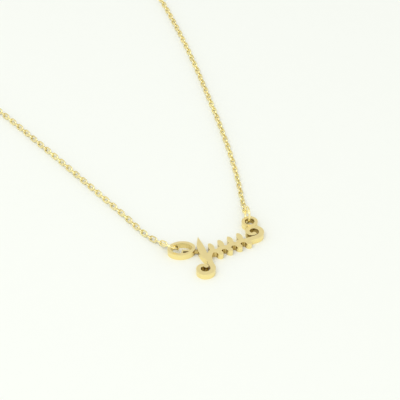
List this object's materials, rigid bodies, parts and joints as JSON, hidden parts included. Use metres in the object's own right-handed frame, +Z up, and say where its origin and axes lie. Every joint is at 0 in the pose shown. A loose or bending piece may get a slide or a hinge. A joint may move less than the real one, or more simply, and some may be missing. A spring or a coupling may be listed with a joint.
{
  "type": "pendant necklace",
  "caption": "Fine cable-chain necklace with a small cast vine pendant between two jump rings and a round clasp, lying on a flat surface.",
  "frame": {"origin": "the middle of the loop's bounding box, on the surface that the necklace lies on", "axes": "+X along the vine from its lower spiral to its upper one, +Y from the pendant to the clasp, +Z up from the surface"},
  "size_m": [0.0727, 0.182, 0.0042],
  "materials": {
    "pendant_gold": "satin gold-plated",
    "ring_gold": "polished gold-plated",
    "chain_gold": "polished gold-plated"
  },
  "bodies": {
    "root": {"pendant": "pendant_gold", "right_jump_ring": "ring_gold", "left_jump_ring": "ring_gold", "right_chain": "chain_gold", "left_chain": "chain_gold", "clasp_ring": "ring_gold", "clasp": "ring_gold"}
  },
  "joints": []
}
